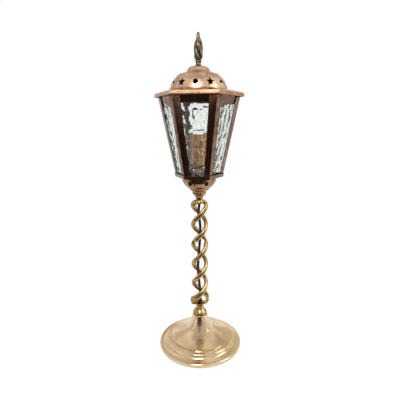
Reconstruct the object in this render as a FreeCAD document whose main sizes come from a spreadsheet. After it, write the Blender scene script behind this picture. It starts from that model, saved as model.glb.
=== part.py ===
import FreeCAD, Part
import math
import os
import Sketcher
from FreeCAD import Matrix, Placement, Rotation, Vector

# A table lamp in the form of a six-sided lantern: a spun base, an open twisted column,
# a glazed tapering lantern on a small spun bowl, and a lift-off roof with a pierced dome.
# Millimetres. +Z is up, the lamp stands on Z = 0, and one lantern face looks along -Y.

doc = FreeCAD.newDocument("LanternLamp")
sheet = doc.addObject("Spreadsheet::Sheet", "Sizes")


# ---------------------------------------------------------------- driving dimensions
drivingSizes = (
    # baize pad and spun base shell
    ("padThick", 0.8, "thickness of the baize pad"),
    ("padInset", 0.8, "the pad's edge inside the rim's edge"),
    ("baseRadius", 79.6, "widest radius of the base"),
    ("baseWideHeight", 5.8, "height of the widest place above the rim's edge"),
    ("rimEdgeInset", 4.8, "the turned-in bottom edge inside the widest place"),
    ("rimTopInset", 2.2, "the top of the rolled rim inside the widest place"),
    ("rimTopHeight", 9.3, "height of the rolled rim"),
    ("coveInset", 9.6, "middle of the hollow behind the rim inside the widest place"),
    ("coveHeight", 10.4, "height of that hollow"),
    ("ringFootInset", 13.3, "outer foot of the raised ring inside the widest place"),
    ("ringFootHeight", 13.2, "height of that foot"),
    ("ringShoulderHeight", 16.2, "height of the ring's shoulder"),
    ("ringCrestInset", 17.1, "the ring's crest inside the widest place"),
    ("ringCrestHeight", 18.9, "height of the ring's crest"),
    ("grooveHeight", 20.0, "height of the groove inside the ring"),
    ("discInset", 22.0, "edge of the raised disc inside the widest place"),
    ("discHeight", 22.7, "height of the disc's edge"),
    ("creaseRadius", 25.5, "where the cone turns up into the trumpet"),
    ("creaseHeight", 36.8, "height of that turn"),
    ("trumpetRadius", 14.0, "radius of the trumpet's top"),
    ("trumpetHeight", 65.0, "height of the trumpet's top"),
    ("shellWall", 0.8, "wall of the spun base"),
    # cast weight in the base
    ("weightInset", 3.3, "the cast weight's edge inside the rim's edge"),
    ("weightStep", 7.4, "height of the weight's outer step"),
    ("weightWeb", 27.2, "height of the web that the nut pulls on"),
    ("weightRecess", 29.0, "radius of the recess below the web"),
    ("weightGap", 0.35, "gap between the weight and the shell"),
    ("channelWidth", 9.0, "width of the flex channel under the weight"),
    ("channelHeight", 8.6, "height of the flex channel"),
    # hollow studs, washers and nuts
    ("studRadius", 5.0, "radius of the hollow studs"),
    ("studBore", 3.5, "bore radius of the hollow studs"),
    ("threadGap", 0.06, "radial gap modelled in the threads"),
    ("holeGap", 0.3, "radial gap of a stud in a plain hole"),
    ("studGrip", 17.0, "length of the lower stud inside the column"),
    ("topGrip", 12.0, "length of the upper stud inside the column"),
    ("lowerStudTail", 7.0, "length of the lower stud below the web"),
    ("washerRadius", 14.0, "radius of the large washers"),
    ("washerThick", 1.5, "thickness of the large washers"),
    ("nutFlats", 15.0, "width across the flats of the hollow nuts"),
    ("nutThick", 4.0, "thickness of the hollow nuts"),
    ("seatGap", 0.05, "gap between faces that are clamped together"),
    # cable outlet in the rear of the base
    ("flexRadius", 2.5, "radius of the flex"),
    ("flexGap", 0.1, "gap round the flex in its grommet"),
    ("outletHeight", 6.0, "height of the cable outlet"),
    ("outletRadius", 3.1, "radius of the outlet hole"),
    ("grommetBead", 0.15, "how far the grommet's inner bead stands over the hole"),
    ("grommetFlange", 3.9, "radius of the grommet's flanges"),
    ("grommetLip", 0.6, "thickness of the grommet's flanges"),
    # twisted column
    ("columnLength", 236.2, "length of the column from seat to seat"),
    ("knobRadius", 13.5, "radius of the knob at the foot of the column"),
    ("knobHeight", 3.0, "height of the knob's widest place"),
    ("lowerNeckRadius", 6.9, "radius of the lower neck"),
    ("lowerNeckHeight", 14.7, "height of the lower neck above the seat"),
    ("lowerHubRadius", 10.6, "radius of the lower hub's cup"),
    ("lowerHubHeight", 23.6, "height of the lower hub's cup above the seat"),
    ("upperNeckRadius", 6.6, "radius of the upper neck"),
    ("upperNeckDrop", 6.6, "distance of the upper neck below the top seat"),
    ("upperFlangeRadius", 8.9, "radius of the flange under the bowl"),
    ("upperHubDrop", 14.6, "distance of the upper hub's edge below the top seat"),
    ("twistPitch", 77.4, "rise of one strand in a full turn"),
    ("twistTurns", 2.5, "turns of each strand"),
    ("twistTopDrop", 17.0, "top of the twist below the top seat"),
    ("twistTurnOffset", 6.0, "angle of the strands at the top of the twist"),
    ("footSpread", 31.0, "rise over which a strand spreads at the foot"),
    ("topSpread", 14.0, "drop over which a strand spreads at the top"),
    ("strandReach", 12.0, "radius of the strands' centre line"),
    ("strandWidth", 8.8, "width of a strand"),
    ("strandThick", 7.6, "thickness of a strand"),
    ("leafWidth", 14.0, "width of a strand where it spreads at the foot"),
    ("leafReach", 15.6, "radius of the centre line where it spreads at the foot"),
    ("topLeafWidth", 11.5, "width of a strand where it spreads at the top"),
    # bowl under the lantern
    ("bowlHeight", 34.0, "height of the bowl"),
    ("bowlRadius", 31.3, "radius of the bowl's rim"),
    ("bowlFootRadius", 9.6, "radius of the bowl's foot"),
    ("bowlWall", 1.0, "wall of the bowl"),
    ("bowlVentRadius", 3.5, "radius of the vents in the bowl"),
    ("bowlVentHeight", 24.0, "height of those vents above the foot"),
    ("bowlTurn", 2.6, "turn of the bowl against the lantern"),
    # lantern body
    ("bodyHeight", 142.6, "height of the lantern body"),
    ("cornerBottom", 41.9, "radius across the corners at the lantern's floor"),
    ("cornerTop", 71.8, "radius across the corners at the lantern's top"),
    ("floorThick", 1.0, "thickness of the floor pan"),
    ("panUpstand", 6.2, "height of the floor pan's upstand"),
    ("panWall", 0.6, "wall of that upstand"),
    ("panGap", 0.1, "gap between the upstand and the posts' hems"),
    ("panBead", 1.3, "height of the bead on the upstand"),
    ("panVentRadius", 4.0, "radius of the vents in the floor pan"),
    ("panVentCircle", 22.0, "radius of the circle of those vents"),
    ("postTopWidth", 12.6, "width of a corner post's flange at the top"),
    ("postBottomWidth", 9.6, "width of a corner post's flange at the bottom"),
    ("sheetThick", 1.0, "sheet thickness of the posts and the top band"),
    ("hemWidth", 1.5, "width of the hem along a post's edge"),
    ("hemRise", 0.3, "how far that hem stands proud"),
    ("bandHeight", 17.6, "height of the top band"),
    ("layerGap", 0.15, "gap between the layers of a lantern wall"),
    ("glassThick", 3.0, "thickness of the glass"),
    ("glassDrop", 8.0, "distance of the glass below the lantern's top"),
    ("glassSideGap", 0.6, "gap between a pane and the corner line"),
    ("clipThick", 0.6, "thickness of the glass clips"),
    ("clipWidth", 6.0, "width of the glass clips"),
    ("clipReach", 6.0, "length of a clip over the glass"),
    ("clipSpread", 15.0, "distance of a clip from the middle of its pane"),
    # lampholder
    ("holderStand", 8.5, "height of the holder above the floor pan's underside"),
    ("holderRadius", 14.6, "radius of the holder"),
    ("holderBoss", 7.4, "radius of the boss at the foot of the holder"),
    ("bossHeight", 7.5, "height of that boss"),
    ("holderWall", 1.0, "wall of the holder"),
    ("capHeight", 24.0, "height of the holder's cap"),
    ("barrelHeight", 66.0, "height of the holder's mouth above its foot"),
    ("sleeveBore", 11.2, "bore radius of the bayonet sleeve"),
    ("sleeveWall", 1.2, "wall of the bayonet sleeve"),
    ("sleeveProud", 1.5, "how far the sleeve stands above the barrel"),
    ("insulatorFoot", 30.0, "height of the insulator's foot"),
    ("insulatorFlange", 7.8, "height of the insulator's flange"),
    ("insulatorHeight", 20.0, "height of the insulator"),
    ("contactSpread", 5.5, "distance of a contact from the axis"),
    ("plungerRadius", 2.2, "radius of a plunger"),
    ("plungerCollar", 2.8, "radius of a plunger's collar"),
    ("plungerProud", 4.0, "how far a plunger stands above the insulator"),
    ("reliefGap", 0.6, "relief in the bayonet sleeve below its guide"),
    ("runningGap", 0.1, "radial gap round a plunger"),
    ("springWire", 0.4, "wire diameter of a contact spring"),
    ("springCoils", 4.5, "number of coils in a contact spring"),
    ("slotWidth", 2.6, "width of a bayonet slot"),
    ("slotDepth", 9.0, "depth of a bayonet slot"),
    ("coreRadius", 0.9, "radius of an insulated core"),
    # roof plate
    ("roofGap", 0.3, "gap between the roof and the posts it rests on"),
    ("rimHeight", 6.3, "height of the roof's rim"),
    ("rimCorner", 77.4, "radius across the corners at the bottom of the rim"),
    ("foldCorner", 76.3, "radius across the corners at the fold"),
    ("foldSoft", 1.2, "rounding of the fold"),
    ("crownCorner", 58.0, "radius across the corners of the flat crown"),
    ("crownRise", 4.8, "rise from the fold to the crown"),
    ("roofWall", 1.0, "wall of the roof plate"),
    ("roofHem", 1.4, "height of the hem on the rim"),
    ("hemProud", 0.4, "how far that hem stands proud"),
    ("roofOpening", 45.0, "radius of the opening under the dome"),
    ("tabWidth", 10.0, "width of a locating tab"),
    ("tabThick", 0.8, "thickness of a locating tab"),
    ("tabDepth", 6.5, "depth of a locating tab below the lantern's top"),
    ("tabClearance", 0.6, "gap between a locating tab and the top band"),
    # dome, chimney cap and finial
    ("domeRadius", 49.5, "radius of the dome's foot"),
    ("domeBelly", 44.1, "radius of the dome at its belly"),
    ("domeBellyHeight", 13.6, "height of that belly"),
    ("domeShoulder", 34.3, "radius of the dome's shoulder"),
    ("domeShoulderHeight", 24.4, "height of the shoulder"),
    ("domeSeatHeight", 28.6, "height of the chimney cap's seat"),
    ("crownHeight", 30.2, "height of the crown inside the cap"),
    ("domeWall", 0.8, "wall of the dome and the cap"),
    ("pierceHeight", 9.8, "height of the row of piercings"),
    ("roundPierce", 4.1, "radius of a round piercing"),
    ("starPierce", 7.5, "radius across the points of a star piercing"),
    ("starRatio", 0.46, "radius of a star's notches against its points"),
    ("capRadius", 21.6, "radius of the cap's foot"),
    ("capWaist", 18.6, "radius of the cap at its waist"),
    ("capWaistHeight", 4.0, "height of that waist"),
    ("capShoulder", 14.8, "radius of the cap's shoulder"),
    ("capShoulderHeight", 8.2, "height of that shoulder"),
    ("capRise", 9.5, "height of the cap"),
    ("rodRadius", 2.5, "radius of the finial's rod"),
    ("rodTail", 7.0, "length of the rod below the crown"),
    ("rodGrip", 9.0, "length of the rod inside the finial"),
    ("smallWasherRadius", 8.5, "radius of the finial's washer"),
    ("smallNutFlats", 8.0, "width across the flats of the finial's nut"),
    ("finialFoot", 5.8, "radius of the finial's foot"),
    ("finialNeck", 4.3, "radius of the finial's neck"),
    ("finialNeckHeight", 4.8, "height of that neck"),
    ("finialCollar", 5.6, "radius of the finial's collar"),
    ("finialCollarHeight", 8.0, "height of that collar"),
    ("flameRadius", 8.0, "greatest radius of the flame"),
    ("flameFoot", 10.4, "height of the foot of the flame"),
    ("flameHeight", 53.4, "height of the flame's tip above the finial's foot"),
    ("flameTwist", -150.0, "twist of the flame from foot to tip, degrees"),
)
for row, (alias, value, note) in enumerate(drivingSizes, start=1):
    sheet.set(f"A{row}", note)
    sheet.set(f"B{row}", repr(value))
    sheet.setAlias(f"B{row}", alias)
doc.recompute()


class Size:
    """A number that remembers how it follows from the cells of the sheet."""

    def __init__(self, text, value):
        self.text = text
        self.value = value

    def __add__(self, other):
        other = asSize(other)
        return Size(f"({self.text} + {other.text})", self.value + other.value)

    def __radd__(self, other):
        return asSize(other) + self

    def __sub__(self, other):
        other = asSize(other)
        return Size(f"({self.text} - {other.text})", self.value - other.value)

    def __rsub__(self, other):
        return asSize(other) - self

    def __mul__(self, other):
        other = asSize(other)
        return Size(f"({self.text} * {other.text})", self.value * other.value)

    def __rmul__(self, other):
        return asSize(other) * self

    def __truediv__(self, other):
        other = asSize(other)
        return Size(f"({self.text} / {other.text})", self.value / other.value)

    def __neg__(self):
        return asSize(0.0) - self


def asSize(number):
    return number if isinstance(number, Size) else Size(repr(float(number)), float(number))


def root(size):
    return Size(f"sqrt({size.text})", math.sqrt(size.value))


def val(size):
    return asSize(size).value


size = {alias: Size(f"Sizes.{alias}", float(sheet.get(alias))) for alias, _, _ in drivingSizes}


# ---------------------------------------------------------------- drawing helpers
def bind(thing, path, amount):
    """Ties one property to the sheet."""
    thing.setExpression(path, asSize(amount).text)


def newBody(label):
    body = doc.addObject("PartDesign::Body", label)
    body.Label = label
    return body


def newSketch(body, plane, offset=None):
    """A sketch on one of the body's own origin planes."""
    sketch = body.newObject("Sketcher::SketchObject", body.Name + "_sketch")
    face = next(item for item in body.Origin.OriginFeatures if item.Role == plane + "_Plane")
    sketch.AttachmentSupport = [(face, "")]
    sketch.MapMode = "FlatFace"
    if offset is not None:
        sketch.AttachmentOffset = offset
    return sketch


def hold(sketch, kind, where, amount):
    """A dimension from the sketch's origin to a point, on the side where the point lies."""
    amount = asSize(amount)
    if amount.value > 1e-9:
        index = sketch.addConstraint(Sketcher.Constraint(kind, -1, 1, *where, amount.value))
        bind(sketch, f"Constraints[{index}]", amount)
    elif amount.value < -1e-9:
        index = sketch.addConstraint(Sketcher.Constraint(kind, *where, -1, 1, -amount.value))
        bind(sketch, f"Constraints[{index}]", -amount)
    else:
        axis = -2 if kind == "DistanceX" else -1
        sketch.addConstraint(Sketcher.Constraint("PointOnObject", *where, axis))


def arcRadius(start, end, bend):
    """Radius of the arc whose sagitta is bend times its chord."""
    dx = asSize(end[0]) - start[0]
    dy = asSize(end[1]) - start[1]
    return root(dx * dx + dy * dy) * ((0.25 + bend * bend) / (2.0 * abs(bend)))


def drawOutline(sketch, points):
    """A closed outline through points (x, y) or (x, y, bend). A bend curves the edge that
    leaves its point: positive to the right of the way along it."""
    ends = []
    for i, point in enumerate(points):
        following = points[(i + 1) % len(points)]
        a = Vector(val(point[0]), val(point[1]), 0)
        b = Vector(val(following[0]), val(following[1]), 0)
        bend = point[2] if len(point) > 2 else 0.0
        if bend:
            chord = b - a
            middle = (a + b) * 0.5 + Vector(chord.y, -chord.x, 0) * bend
            edge = sketch.addGeometry(Part.Arc(a, middle, b))
            turned = sketch.getPoint(edge, 1).distanceToPoint(a) > sketch.getPoint(edge, 1).distanceToPoint(b)
            index = sketch.addConstraint(
                Sketcher.Constraint("Radius", edge, arcRadius(point, following, bend).value))
            bind(sketch, f"Constraints[{index}]", arcRadius(point, following, bend))
        else:
            edge = sketch.addGeometry(Part.LineSegment(a, b))
            turned = False
        ends.append((edge, 2 if turned else 1, 1 if turned else 2))
    for i, (edge, first, last) in enumerate(ends):
        following = ends[(i + 1) % len(ends)]
        sketch.addConstraint(Sketcher.Constraint("Coincident", edge, last, following[0], following[1]))
    for (edge, first, last), point in zip(ends, points):
        hold(sketch, "DistanceX", (edge, first), point[0])
        hold(sketch, "DistanceY", (edge, first), point[1])


def drawCircle(sketch, x, y, radius):
    circle = sketch.addGeometry(Part.Circle(Vector(val(x), val(y), 0), Vector(0, 0, 1), val(radius)))
    index = sketch.addConstraint(Sketcher.Constraint("Radius", circle, val(radius)))
    bind(sketch, f"Constraints[{index}]", radius)
    hold(sketch, "DistanceX", (circle, 3), x)
    hold(sketch, "DistanceY", (circle, 3), y)


def sheetOutline(points, wall):
    """Closes an outer profile, drawn from foot to top, with an inner one a wall inside it.
    The two ends are cut level or upright, whichever is nearer to square."""
    inner = []
    for i, point in enumerate(points):
        normals = []
        for j in (i - 1, i):
            if 0 <= j < len(points) - 1:
                a, b = points[j], points[j + 1]
                chord = Vector(val(b[0]) - val(a[0]), val(b[1]) - val(a[1]), 0)
                bend = a[2] if len(a) > 2 else 0.0
                sweep = 2.0 * math.atan(2.0 * bend)
                turn = -sweep if j == i else sweep
                along = Rotation(Vector(0, 0, 1), math.degrees(turn)).multVec(chord).normalize()
                normals.append(Vector(-along.y, along.x, 0))
        if len(normals) == 2:
            total = normals[0] + normals[1]
            miter = total * (2.0 / total.dot(total))
        elif abs(normals[0].x) > abs(normals[0].y):
            miter = Vector(1.0 / normals[0].x, 0, 0)
        else:
            miter = Vector(0, 1.0 / normals[0].y, 0)
        inner.append([point[0] + wall * miter.x, point[1] + wall * miter.y])
    for i in range(len(points) - 1):
        bend = points[i][2] if len(points[i]) > 2 else 0.0
        if bend:
            outerArc = val(arcRadius(points[i], points[i + 1], bend))
            innerArc = outerArc - math.copysign(val(wall), bend)
            chord = math.hypot(val(inner[i + 1][0]) - val(inner[i][0]), val(inner[i + 1][1]) - val(inner[i][1]))
            if innerArc > 0.6 * chord:
                rise = innerArc - math.sqrt(innerArc * innerArc - chord * chord / 4.0)
                inner[i + 1].append(-math.copysign(rise / chord, bend))
    return list(points) + [tuple(point) for point in reversed(inner)]


def revolve(body, points, plane="XZ"):
    """Turns an outline round the body's own upright axis."""
    sketch = newSketch(body, plane)
    drawOutline(sketch, points)
    turned = body.newObject("PartDesign::Revolution", body.Name + "_turned")
    turned.Profile = sketch
    turned.ReferenceAxis = (sketch, ["V_Axis"])
    turned.Angle = 360.0
    sketch.Visibility = False
    return turned


def pad(body, plane, draw, length, offset=None, midplane=False, reversed_=False):
    sketch = newSketch(body, plane, offset)
    draw(sketch)
    thick = body.newObject("PartDesign::Pad", body.Name + "_pad")
    thick.Profile = sketch
    thick.Midplane = midplane
    thick.Reversed = reversed_
    bind(thick, "Length", length)
    return thick


def pocket(body, plane, draw, length, offset=None, reversed_=False, midplane=False):
    """Cuts from a sketch, and makes sure that something was cut."""
    doc.recompute()
    before = body.Shape.Volume
    sketch = newSketch(body, plane, offset)
    draw(sketch)
    cut = body.newObject("PartDesign::Pocket", body.Name + "_pocket")
    cut.Profile = sketch
    cut.Reversed = reversed_
    cut.Midplane = midplane
    bind(cut, "Length", length)
    doc.recompute()
    if not body.Shape.Volume < before - 1e-3:
        raise RuntimeError(f"a cut in {body.Label} took nothing away")
    return cut


def ring(body, features, count):
    """Repeats features evenly round the body's upright axis."""
    pattern = body.newObject("PartDesign::PolarPattern", body.Name + "_ring")
    pattern.Originals = features
    axis = next(item for item in body.Origin.OriginFeatures if item.Role == "Z_Axis")
    pattern.Axis = (axis, [""])
    pattern.Angle = 360.0
    pattern.Occurrences = count
    body.Tip = pattern
    return pattern


def hexagon(corner, turn=30.0):
    """Corners of a hexagon with a flat side towards -Y (turn 30) or a corner there (turn 0)."""
    angles = [math.radians(-90.0 + turn + 60.0 * i) for i in range(6)]
    return [(corner * math.cos(a), corner * math.sin(a)) for a in angles]


def loft(body, sections, cut=False):
    """A straight loft between outlines drawn at heights."""
    sketches = []
    for height, points in sections:
        sketch = newSketch(body, "XY", Placement(Vector(0, 0, val(height)), Rotation()))
        bind(sketch, "AttachmentOffset.Base.z", height)
        drawOutline(sketch, points)
        sketches.append(sketch)
    kind = "PartDesign::SubtractiveLoft" if cut else "PartDesign::AdditiveLoft"
    shape = body.newObject(kind, body.Name + "_loft")
    shape.Profile = sketches[0]
    shape.Sections = sketches[1:]
    shape.Ruled = True
    return shape


nodes = []


def keep(thing, label=None, height=None, turn=0.0):
    """Names a finished piece and puts it at its height, turned about the lamp's axis."""
    if label:
        thing.Label = label
    if turn:
        thing.Placement = Placement(Vector(0, 0, 0), Rotation(Vector(0, 0, 1), turn))
    if height is not None:
        bind(thing, "Placement.Base.z", height)
    nodes.append(thing)
    return thing


def rod(label, radius, length, height):
    """A plain round bar."""
    bar = doc.addObject("Part::Cylinder", label)
    bind(bar, "Radius", radius)
    bind(bar, "Height", length)
    return keep(bar, label, height)


def tube(label, radius, bore, length, height):
    """A hollow bar."""
    body = newBody(label)

    def draw(sketch):
        drawCircle(sketch, 0, 0, radius)
        drawCircle(sketch, 0, 0, bore)

    pad(body, "XY", draw, length)
    return keep(body, label, height)


def hexNut(label, flats, bore, thick, height):
    body = newBody(label)

    def draw(sketch):
        drawOutline(sketch, hexagon(flats / math.sqrt(3.0)))
        drawCircle(sketch, 0, 0, bore)

    pad(body, "XY", draw, thick)
    return keep(body, label, height)


def fixedShape(label, shape):
    """A piece whose shape is worked out here from the sheet's values."""
    thing = doc.addObject("Part::Feature", label)
    thing.Shape = shape
    thing.Label = label
    return thing


def smoothPipe(route, radius, shares=0.45):
    """A round tube on straight runs joined by tangent arcs."""
    corners = [Vector(*point) for point in route]
    edges = []
    radii = []
    last = corners[0]
    for i in range(1, len(corners) - 1):
        before = corners[i] - corners[i - 1]
        after = corners[i + 1] - corners[i]
        turn = before.getAngle(after)
        setback = shares * min(before.Length, after.Length)
        radii.append(setback / math.tan(turn / 2.0))
        start = corners[i] - before.normalize() * setback
        end = corners[i] + after.normalize() * setback
        bisector = (start + end) * 0.5 - corners[i]
        reach = bisector.Length
        centreDistance = radii[-1] / math.cos(turn / 2.0)
        middle = corners[i] + bisector.normalize() * (centreDistance - radii[-1])
        if reach < 1e-9:
            raise RuntimeError("three points of a route are in line")
        edges.append(Part.LineSegment(last, start).toShape())
        edges.append(Part.Arc(start, middle, end).toShape())
        last = end
    edges.append(Part.LineSegment(last, corners[-1]).toShape())
    spine = Part.Wire(edges)
    direction = corners[1] - corners[0]
    disc = Part.Wire([Part.Circle(corners[0], direction, radius).toShape()])
    shell = Part.BRepOffsetAPI.MakePipeShell(spine)
    shell.add(disc)
    shell.setTransitionMode(1)
    shell.build()
    shell.makeSolid()
    solid = shell.shape()
    expected = math.pi * radius * radius * spine.Length
    print(f"tube r {radius}: length {spine.Length:.1f}, tightest arc {min(radii):.1f}, "
          f"volume {solid.Volume / expected:.4f} of its section times its length")
    return solid


# ---------------------------------------------------------------- levels
shellFoot = size["padThick"]
columnSeat = shellFoot + size["trumpetHeight"]
columnTop = columnSeat + size["columnLength"]
panLevel = columnTop + size["bowlHeight"]
bodyTop = panLevel + size["bodyHeight"]
holderLevel = panLevel + size["holderStand"]
hexHalf = math.cos(math.radians(30.0))


# ---------------------------------------------------------------- base
rimEdge = size["baseRadius"] - size["rimEdgeInset"]
ringFoot = size["baseRadius"] - size["ringFootInset"]
ringCrest = size["baseRadius"] - size["ringCrestInset"]
discEdge = size["baseRadius"] - size["discInset"]
rod("baize_pad", rimEdge - size["padInset"], size["padThick"], 0)

baseProfile = [
    (rimEdge, 0.1),
    (rimEdge + 2.3, 1.1, 0.05),
    (size["baseRadius"] - 0.6, size["baseWideHeight"] - 2.6, 0.09),
    (size["baseRadius"], size["baseWideHeight"], 0.18),
    (size["baseRadius"] - size["rimTopInset"], size["rimTopHeight"], -0.05),
    (size["baseRadius"] - size["coveInset"], size["coveHeight"], -0.12),
    (ringFoot, size["ringFootHeight"], 0.04),
    (ringFoot - 0.7, size["ringShoulderHeight"], 0.2),
    (ringCrest, size["ringCrestHeight"], 0.06),
    (discEdge + 0.9, size["grooveHeight"], -0.1),
    (discEdge, size["grooveHeight"] + 0.6),
    (discEdge - 0.1, size["discHeight"] - 0.4, 0.2),
    (discEdge - 0.9, size["discHeight"], -0.035),
    (size["creaseRadius"], size["creaseHeight"], -0.03),
    (size["trumpetRadius"] + 0.2, size["trumpetHeight"] - 1.2, 0.22),
    (size["trumpetRadius"] - 1.0, size["trumpetHeight"]),
    (size["studRadius"] + size["holeGap"], size["trumpetHeight"]),
]
baseShell = newBody("base_shell")
revolve(baseShell, sheetOutline(baseProfile, size["shellWall"]))


def drawOutlet(sketch):
    drawCircle(sketch, 0, size["outletHeight"] - shellFoot, size["outletRadius"])


def drawFlangeSeat(sketch):
    drawCircle(sketch, 0, size["outletHeight"] - shellFoot, size["grommetFlange"] + size["seatGap"])


pocket(baseShell, "XZ", drawOutlet, size["baseRadius"] + 1.0)
flangeSeat = size["baseRadius"] - size["grommetLip"]
seatPlane = Placement(Vector(0, 0, -val(flangeSeat)), Rotation())
seatCut = pocket(baseShell, "XZ", drawFlangeSeat, 2.0, offset=seatPlane)
bind(seatCut.Profile[0], "AttachmentOffset.Base.z", -flangeSeat)
keep(baseShell, height=shellFoot)

# The weight follows the inside of the cone and rises in the trumpet as a boss, which
# carries the top of the shell when the nut is tightened.
weight = newBody("base_weight")
weightEdge = rimEdge - size["weightInset"]
gap = size["weightGap"] + size["shellWall"]
bossTop = size["trumpetHeight"] - size["shellWall"] - size["seatGap"]
coneProfile = [
    (discEdge - 0.9 - gap, size["discHeight"] + 0.3, -0.035),
    (size["creaseRadius"], size["creaseHeight"], -0.03),
    (size["trumpetRadius"] + 0.2, size["trumpetHeight"] - 1.8),
]
underCone = sheetOutline(coneProfile, gap)[len(coneProfile):]
revolve(weight, [
    (size["studRadius"] + size["holeGap"], size["weightWeb"]),
    (size["studRadius"] + size["holeGap"], bossTop),
    (size["trumpetRadius"] - 2.0, bossTop),
    *underCone,
    (discEdge - gap - 0.9, size["ringCrestHeight"] - gap - 0.6),
    (ringCrest, size["ringCrestHeight"] - gap - 1.2),
    (ringCrest, size["weightStep"]),
    (weightEdge, size["weightStep"]),
    (weightEdge, 0),
    (size["weightRecess"], 0),
    (size["weightRecess"], size["weightWeb"]),
])


def drawChannel(sketch):
    half = size["channelWidth"] / 2
    drawOutline(sketch, [(-half, -1.0), (half, -1.0), (half, size["channelHeight"]), (-half, size["channelHeight"])])


pocket(weight, "XZ", drawChannel, weightEdge + 5.0)
keep(weight, height=shellFoot)

lowerWeb = shellFoot + size["weightWeb"]
studBottom = lowerWeb - size["lowerStudTail"]
tube("lower_stud", size["studRadius"], size["studBore"], columnSeat + size["studGrip"] - studBottom, studBottom)
tube("lower_washer", size["washerRadius"], size["studRadius"] + size["holeGap"], size["washerThick"],
     lowerWeb - size["seatGap"] - size["washerThick"])
hexNut("lower_nut", size["nutFlats"], size["studRadius"] + size["threadGap"], size["nutThick"],
       lowerWeb - size["seatGap"] * 2 - size["washerThick"] - size["nutThick"])

grommet = newBody("outlet_grommet")
grommetOut = size["baseRadius"] - size["grommetLip"] + size["seatGap"]
grommetBore = size["flexRadius"] + size["flexGap"]
grommetHub = size["outletRadius"] - size["seatGap"]
grommetIn = rimEdge - size["grommetLip"]
revolve(grommet, [
    (grommetBore, grommetIn - size["grommetLip"]),
    (size["outletRadius"] + size["grommetBead"], grommetIn - size["grommetLip"]),
    (size["outletRadius"] + size["grommetBead"], grommetIn),
    (grommetHub, grommetIn),
    (grommetHub, grommetOut),
    (size["grommetFlange"], grommetOut),
    (size["grommetFlange"], grommetOut + size["grommetLip"] * 0.6),
    (size["grommetFlange"] - 0.5, grommetOut + size["grommetLip"]),
    (grommetBore, grommetOut + size["grommetLip"]),
])
grommet.Placement = Placement(Vector(0, 0, 0), Rotation(Vector(1, 0, 0), -90.0))
bind(grommet, "Placement.Base.z", size["outletHeight"])
nodes.append(grommet)


# ---------------------------------------------------------------- twisted column
threadBore = size["studRadius"] + size["threadGap"]
threadDepth = size["studGrip"] + 0.5
topThreadDepth = size["topGrip"] + 0.5


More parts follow.
